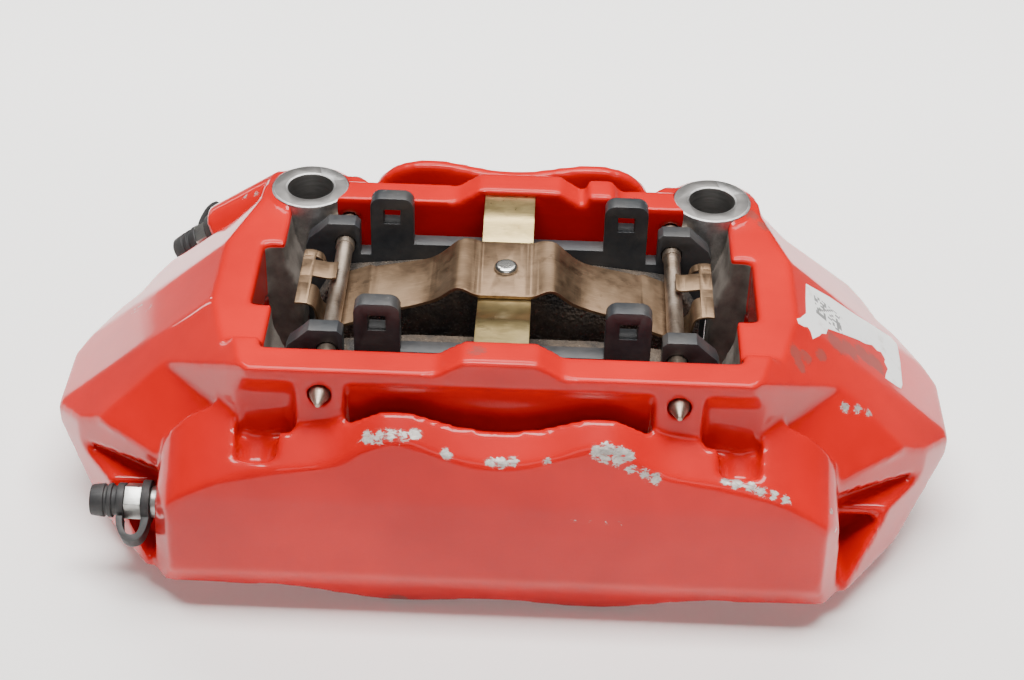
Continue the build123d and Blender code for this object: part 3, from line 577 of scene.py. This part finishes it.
# where the paint is chipped: radius, strength and the spots' (x, y, z), in millimetres
CHIPPED = [
    (2.6, 1.0, [(-37.2, -105.4, 19.5), (-34, -105.9, 20.5), (-30.5, -106.2, 20.9)]),
    (2.6, 1.0, [(-27.1, -106.2, 20.7)]),
    (2.2, 0.95, [(-24, -104.9, 20.9), (-14.4, -107.8, 15.9), (-2, -107.8, 13.9), (1.5, -107.9, 13.8)]),
    (2.0, 0.95, [(4.9, -107.5, 14.3), (14.4, -108.3, 15.5)]),
    (2.4, 1.0, [(28.3, -107.7, 19.1), (31.7, -107.5, 19.9), (35.1, -107.3, 19.1), (38.1, -107.4, 17.8)]),
    (2.2, 0.88, [(31.2, -108.1, 16.9), (34.5, -108.3, 15.8), (38.5, -108.6, 14.3), (42.7, -109, 12.6)]),
    (2.2, 0.95, [(45.9, -109.3, 11.1), (66.2, -107.5, 10.2), (69.7, -108, 9.2), (73.2, -108.4, 8.3)]),
    (2.2, 1.0, [(76.8, -108.8, 7.2), (80.3, -108.8, 6.2), (83.6, -109, 5.1)]),
    (1.1, 0.78, [(23.2, -111.5, -4.3), (27.6, -111.5, -4.5), (32, -111.5, -4.7), (36.4, -111.5, -4.4)]),
    (3.0, 0.72, [(-118.7, -30.3, 6.3), (-113.3, -36.5, 11.1)]),
    (1.6, 0.85, [(-87.9, 7, 26.2), (-84, 5.7, 28.8), (-90.2, -11, 26.7)]),
    (2.1, 0.95, [(103.5, -75.4, 13), (107.5, -74.1, 11.4), (110.8, -73.3, 9.3)]),
    (1.5, 0.85, [(100.1, -106.8, -8.3), (98.6, -104.5, -3.3)]),
]
# where glue, grime or scuffs lie on the paint
STAINED = [
    (4.5, 0.9, [(106.5, -52.5, 17.2), (112, -48.5, 12.8), (116.3, -47.5, 9.2), (101.5, -55, 21.4)]),
    (3.0, 0.8, [(86.4, -73.6, 31.7), (87.9, -77, 29.5), (90.5, -72, 28.5), (95.5, -66, 25.2)]),
    (3.6, 0.7, [(81.6, -10.2, 33.9), (77.6, -6, 34.4), (-6.8, -91.8, 42), (-29.6, -103.9, -45.8)]),
]


def mark(piece, name, values):
    """Stores one number for each point of a piece."""
    attribute = piece.data.attributes.new(name, "FLOAT", "POINT")
    attribute.data.foreach_set("value", np.asarray(values, np.float32))


def points_of(piece):
    """A piece's points in millimetres."""
    co = np.empty(len(piece.data.vertices) * 3, np.float32)
    piece.data.vertices.foreach_get("co", co)
    return co.reshape(-1, 3) / MM


def fresh_skin():
    """A bare copy of the finished casting."""
    source = bpy.data.objects["painted_casting"]
    piece = bpy.data.objects.new("skin copy", source.data.copy())
    bpy.context.scene.collection.objects.link(piece)
    return piece


class CALIPER_OT_casting(bpy.types.Operator):
    """Rounds the casting as moulded and painted metal is, and marks its wear"""

    bl_idname = "caliper.casting"
    bl_label = "Painted casting"

    def execute(self, context):
        settings = context.scene.caliper
        body = fresh_copy("caliper_body", "painted_casting")
        skin = body.modifiers.new("skin", "REMESH")
        skin.mode = "VOXEL"
        skin.voxel_size = settings.skin_cell * 1.0
        apply_all(body)
        soften = body.modifiers.new("soften", "SMOOTH")
        soften.factor = 0.5
        soften.iterations = settings.soften_steps // 1
        apply_all(body)
        faces = len(body.data.polygons) * 2
        if faces > MOST_FACES:
            thin = body.modifiers.new("thin", "DECIMATE")
            thin.ratio = MOST_FACES / faces
            apply_all(body)
        # crisp holes: bolt lugs, pin holes
        cutters = []
        for x in (-LUG_X, LUG_X):
            cutters.append(bar("lug cut", (x, 0, -4), (x, 0, 40), LUG_R - 0.05, 96))
        for x in (-PIN_X, PIN_X):
            start, end = (x, DISC_Y - 45, PIN_Z), (x, DISC_Y - 56, PIN_Z)
            cutters.append(bar("pin cut", start, end, PIN_HOLE_R, 40))
        boolean(body, joined("crisp holes", cutters))
        co = points_of(body)
        for name, spots in (("wear", CHIPPED), ("stain", STAINED)):
            worn = np.zeros(len(co))
            for radius, strength, places in spots:
                for place in places:
                    near = np.linalg.norm(co - place, axis=1) / (radius * 1.3)
                    worn = np.maximum(worn, strength * np.clip(1.3 - near, 0, 1))
            mark(body, name, worn)
        d = co[:, 1] - DISC_Y
        inside = (np.abs(co[:, 0]) < WINDOW_HALF_X) & (d > WINDOW_FRONT) & (d < WINDOW_BACK)
        inside &= co[:, 2] < WINDOW_RIM_Z
        mark(body, "dust", np.where(inside, 1.0, 0.0))
        smooth(body, 50)
        finish_piece(body, red_paint(settings), "housing", "body_paint", "caliper_body")
        return {"FINISHED"}


class CALIPER_OT_lugs(bpy.types.Operator):
    """Adds the machined faces and bores of the two mounting lugs"""

    bl_idname = "caliper.lugs"
    bl_label = "Machined lugs"

    def execute(self, context):
        # the bores get the darker finish, painted shade inside the holes
        face, bore = machined_aluminium(), shaded_bore_finish()
        for tag, x in ((LEFT, -LUG_X), (RIGHT, LUG_X)):
            lug = bar(f"machined_lug_{tag}", (x, 0, 0.02), (x, 0, LUG_HEIGHT), LUG_R, 96)
            boolean(lug, bar("bore", (x, 0, -2), (x, 0, 40), LUG_BORE_R, 72))
            bevel = lug.modifiers.new("chamfer", "BEVEL")
            bevel.width = 1.1 * MM
            bevel.segments = 2
            bevel.limit_method = "ANGLE"
            bevel.angle_limit = math.radians(60)
            apply_all(lug)
            smooth(lug, 30)
            finish_piece(lug, face, "housing", "piston_alloy")
            lug.data.materials.append(bore)
            for polygon in lug.data.polygons:
                centre = polygon.center / MM
                if math.hypot(centre.x - x, centre.y) < LUG_BORE_R + 0.15:
                    polygon.material_index = 1
        return {"FINISHED"}


# the torn label's outline seen from above, in millimetres
TORN = [
    (93.1, -35.1), (101.5, -31.2), (111.7, -28.4), (121, -24.2), (125.2, -22.2), (126.6, -24.2),
    (126.4, -35), (125.4, -47.5), (124.6, -50.4), (123.2, -51), (118.8, -51.9), (119.6, -48.5),
    (120.7, -45), (119.8, -42.6), (120.3, -40.5), (119.1, -38.2), (117.6, -39.4), (115.9, -38.5),
    (113.2, -41.2), (110.5, -42.5), (105.5, -46.1), (101.6, -49), (99.1, -50.9), (98.6, -52.6),
    (98.1, -54.8), (96.4, -56.6), (95.5, -58.9), (93.4, -62.6), (92.6, -60.5), (91.6, -59.4),
    (90.4, -60.6), (88.5, -61.3), (88, -59.6), (89.1, -58), (90.3, -55.2), (91.6, -52.3), (92.2, -44),
]


class CALIPER_OT_label(bpy.types.Operator):
    """Adds the torn paper label, blank but for a generic dotted patch"""

    bl_idname = "caliper.label"
    bl_label = "Torn label"

    def execute(self, context):
        share = context.scene.caliper.label_size / 0.038
        middle = np.mean(TORN, axis=0)
        bpy.ops.object.select_all(action="DESELECT")
        bpy.ops.mesh.primitive_circle_add(vertices=len(TORN), fill_type="NGON", radius=0.02)
        paper = context.object
        paper.name = "torn_label"
        for vertex, spot in zip(paper.data.vertices, TORN):
            x, y = middle + (np.array(spot) - middle) * share
            vertex.co = (x * MM, y * MM, (SHOULDER_Z - (x - SHOULDER_X) * SLAB_FALL) * MM)
        settle(paper)
        thick = paper.modifiers.new("thickness", "SOLIDIFY")
        thick.thickness = 5 * MM
        thick.offset = 0
        apply_all(paper)
        edit(paper)
        bpy.ops.mesh.select_all(action="SELECT")
        bpy.ops.mesh.normals_make_consistent(inside=False)
        bpy.ops.mesh.quads_convert_to_tris()
        done()
        skin = fresh_skin()
        over = skin.modifiers.new("over the paint", "DISPLACE")
        over.strength = 0.14 * MM
        over.mid_level = 0
        apply_all(skin)
        boolean(paper, skin, "INTERSECT")
        smooth(paper, 30)
        f = Finish("torn paper label", roughness=0.45)
        fibre = f.noise(700, 4)
        crease = f.ramp(f.noise(120, 5, 0.7), [(0.56, 0.0), (0.70, 1.0)])
        paperwhite = f.mix(f.math("MULTIPLY", crease, 0.55), (0.86, 0.86, 0.85), (0.42, 0.36, 0.31))
        # a generic dotted patch, no code or writing
        split = f.node("SeparateXYZ")
        f.link(f.place, split.inputs[0])
        patch = 1.0
        for axis, low, high in (("X", 0.0955, 0.1045), ("Y", -0.0475, -0.0375)):
            inside = f.math("GREATER_THAN", split.outputs[axis], low)
            inside = f.math("MULTIPLY", inside, f.math("LESS_THAN", split.outputs[axis], high))
            patch = f.math("MULTIPLY", inside, patch)
        squares = f.node("VectorMath", operation="SNAP")
        squares.inputs[1].default_value = (0.00075, 0.00095, 1.0)
        f.link(f.place, squares.inputs[0])
        dots = f.node("TexWhiteNoise")
        f.link(squares.outputs[0], dots.inputs["Vector"])
        dark = f.math("MULTIPLY", f.math("GREATER_THAN", dots.outputs["Value"], 0.5), patch)
        f.colour(f.mix(f.math("MULTIPLY", dark, 0.85), paperwhite, (0.06, 0.06, 0.06)))
        f.bump(f.math("ADD", fibre, f.math("MULTIPLY", crease, 1.5)), 0.25, 0.0003)
        finish_piece(paper, f.material, "housing", "shim_steel")
        return {"FINISHED"}


# ---- pads, pins, springs ------------------------------------------------------------------------------


class CALIPER_OT_pads(bpy.types.Operator):
    """Finishes the two pads: coated plates, friction linings and shims"""

    bl_idname = "caliper.pads"
    bl_label = "Pads"

    def execute(self, context):
        width = context.scene.caliper.edge_width / MM
        plate, lining = black_plate(), friction_lining()
        steel = tarnished("shim steel", (0.20, 0.18, 0.16), (0.40, 0.38, 0.35))
        for side in (OUTBOARD, INBOARD):
            piece = fresh_copy(f"backing_plate_{side}", f"coated_plate_{side}")
            soften_edges(piece, width * 1.3, 3)
            co = points_of(piece)
            high = np.clip((co[:, 2] - TAB_RUB_LOW) / TAB_RUB_RUN, 0, 1)
            mark(piece, "rub", 0.08 + 0.27 * high)
            finish_piece(piece, plate, f"pad_{side}", "plate_black", f"backing_plate_{side}")
            piece = fresh_copy(f"lining_{side}", f"pressed_lining_{side}")
            soften_edges(piece, 0.8, 2)
            finish_piece(piece, lining, f"pad_{side}", "friction_lining", f"lining_{side}")
            repaint(f"shim_{side}", steel)
        return {"FINISHED"}


class CALIPER_OT_pistons(bpy.types.Operator):
    """Finishes the pistons and seals, and makes the folded dust boots"""

    bl_idname = "caliper.pistons"
    bl_label = "Pistons and boots"

    def execute(self, context):
        alloy = tarnished("anodised alloy", (0.30, 0.30, 0.29), (0.55, 0.55, 0.53), scale=30)
        rubber = black_rubber("seal rubber")
        for side, out in ((OUTBOARD, -1), (INBOARD, 1)):
            for hand in (LEFT, RIGHT):
                tag = f"{side}_{hand}"
                repaint(f"piston_{tag}", alloy)
                repaint(f"seal_{tag}", rubber)
                x = -PISTON_X if hand == LEFT else PISTON_X
                bending_piece(
                    f"dust_boot_{tag}", f"folded_boot_{tag}", rubber, "boot_rubber", 0.25,
                    f"piston_body_{tag}", (x, DISC_Y + out * BOOT_HOUSING_D, PISTON_Z),
                    (x, DISC_Y + out * BOOT_PISTON_D, PISTON_Z),
                )
        return {"FINISHED"}


class CALIPER_OT_pins(bpy.types.Operator):
    """Finishes the retaining pins and their spring sleeves"""

    bl_idname = "caliper.pins"
    bl_label = "Retaining pins"

    def execute(self, context):
        steel = tarnished(
            "browned pin steel", (0.20, 0.145, 0.105), (0.50, 0.43, 0.36), scale=120, stretch=(1, 0.35, 1)
        )
        turned = machined_aluminium()
        width = context.scene.caliper.edge_width / MM
        for hand in (LEFT, RIGHT):
            for node, name, slot, finish, ease in (
                ("retaining_pin", "browned_pin", "pin_steel", steel, width),
                ("pin_sleeve", "split_sleeve", "sleeve_steel", turned, width * 0.5),
            ):
                piece = fresh_copy(f"{node}_{hand}", f"{name}_{hand}")
                soften_edges(piece, ease)
                finish_piece(piece, finish, f"pin_{hand}", slot, f"{node}_{hand}")
        return {"FINISHED"}


class CALIPER_OT_springs(bpy.types.Operator):
    """Finishes the cross spring, its rivet and the two side clips"""

    bl_idname = "caliper.springs"
    bl_label = "Springs and clips"

    def execute(self, context):
        bronze = tarnished("bronze spring", (0.17, 0.105, 0.062), (0.36, 0.25, 0.16), scale=34)
        brass = tarnished(
            "brass strip", (0.48, 0.35, 0.15), (0.70, 0.55, 0.27), rough=(0.20, 0.36), scale=40, dirt=0.25
        )
        silver = tarnished(
            "rivet steel", (0.55, 0.54, 0.51), (0.85, 0.84, 0.80), rough=(0.16, 0.30), dirt=0.2
        )
        for node, name, slot, finish, ease in (
            ("spring_leaf", "bronze_leaf", "leaf_bronze", bronze, 0.22),
            ("spring_strip", "brass_strip", "strip_brass", brass, 0.20),
            ("spring_rivet", "domed_rivet", "rivet_steel", silver, 0.30),
            ("side_clip_left", "bronze_clip_left", "clip_bronze", bronze, 0.16),
            ("side_clip_right", "bronze_clip_right", "clip_bronze", bronze, 0.16),
        ):
            piece = fresh_copy(node, name)
            soften_edges(piece, ease)
            finish_piece(piece, finish, "housing", slot, node)
        return {"FINISHED"}


class CALIPER_OT_bleeders(bpy.types.Operator):
    """Finishes the bleed screws, their rubber caps and straps"""

    bl_idname = "caliper.bleeders"
    bl_label = "Bleed screws"

    def execute(self, context):
        zinc = tarnished(
            "zinc plate", (0.50, 0.50, 0.48), (0.74, 0.74, 0.71), rough=(0.24, 0.42), scale=80, dirt=0.35
        )
        rubber = black_rubber()
        for side in (OUTBOARD, INBOARD):
            for node, name, body, slot, finish, ease in (
                ("bleed_screw", "zinc_bleeder", "screw", "bleeder_zinc", zinc, 0.35),
                ("bleed_cap", "ribbed_cap", "cap", "cap_rubber", rubber, 0.45),
            ):
                piece = fresh_copy(f"{node}_{side}", f"{name}_{side}")
                soften_edges(piece, ease, 3, 24)
                finish_piece(piece, finish, f"{body}_{side}", slot, f"{node}_{side}")
            bending_piece(
                f"bleed_strap_{side}", f"rubber_strap_{side}", rubber, "strap_rubber", 0.5,
                f"cap_{side}", *BLEED_AXES[side],
            )
        return {"FINISHED"}


class CALIPER_PT_panel(bpy.types.Panel):
    """Lists the steps in order"""

    bl_idname = "CALIPER_PT_panel"
    bl_label = "Brake caliper"
    bl_space_type = "VIEW_3D"
    bl_region_type = "UI"
    bl_category = "Caliper"

    def draw(self, context):
        for name in CaliperSettings.__annotations__:
            self.layout.prop(context.scene.caliper, name)
        for step in STEPS:
            self.layout.operator(step.bl_idname)


STEPS = (
    CALIPER_OT_stage,
    CALIPER_OT_casting,
    CALIPER_OT_lugs,
    CALIPER_OT_label,
    CALIPER_OT_pads,
    CALIPER_OT_pistons,
    CALIPER_OT_pins,
    CALIPER_OT_springs,
    CALIPER_OT_bleeders,
)
CLASSES = (CaliperSettings, *STEPS, CALIPER_PT_panel)


def register():
    for cls in CLASSES:
        bpy.utils.register_class(cls)
    bpy.types.Scene.caliper = PointerProperty(type=CaliperSettings)


def unregister():
    del bpy.types.Scene.caliper
    for cls in reversed(CLASSES):
        bpy.utils.unregister_class(cls)


def main():
    """Builds every piece in order."""
    register()
    for step in STEPS:
        group, name = step.bl_idname.split(".")
        getattr(getattr(bpy.ops, group), name)()


if __name__ == "__main__":
    main()
